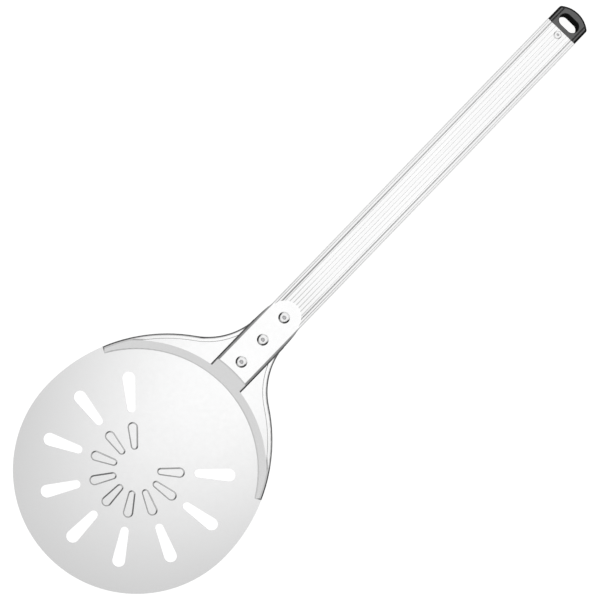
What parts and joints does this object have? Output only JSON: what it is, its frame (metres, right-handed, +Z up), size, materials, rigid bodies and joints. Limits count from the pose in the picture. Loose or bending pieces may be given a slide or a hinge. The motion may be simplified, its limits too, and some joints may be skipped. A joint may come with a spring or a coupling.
{
  "type": "pizza turning peel",
  "caption": "Round perforated metal blade with raised stiffening ridge, riveted to a flat ribbed handle with a slotted end cap; turns and lifts pizzas in an outdoor oven.",
  "frame": {"origin": "centre of the round blade, on its flat underside", "axes": "+X runs along the handle to its hanging end, +Z points up out of the face that carries the pizza"},
  "size_m": [0.62, 0.2032, 0.0145],
  "materials": {
    "blade_metal": "fine satin, dull along the bends",
    "handle_metal": "satin anodised extrusion, lengthwise grooves",
    "cap_plastic": "moulded, fine texture",
    "rivet_metal": "polished dome",
    "pin_metal": "plain steel"
  },
  "bodies": {
    "root": {"blade_head": "blade_metal", "handle_tube": "handle_metal", "end_cap": "cap_plastic", "neck_rivet_1": "rivet_metal", "neck_rivet_2": "rivet_metal", "neck_rivet_3": "rivet_metal", "cap_rivet": "rivet_metal", "neck_rivet_pin_1": "pin_metal", "neck_rivet_pin_2": "pin_metal", "neck_rivet_pin_3": "pin_metal", "cap_rivet_pin": "pin_metal"}
  },
  "joints": []
}
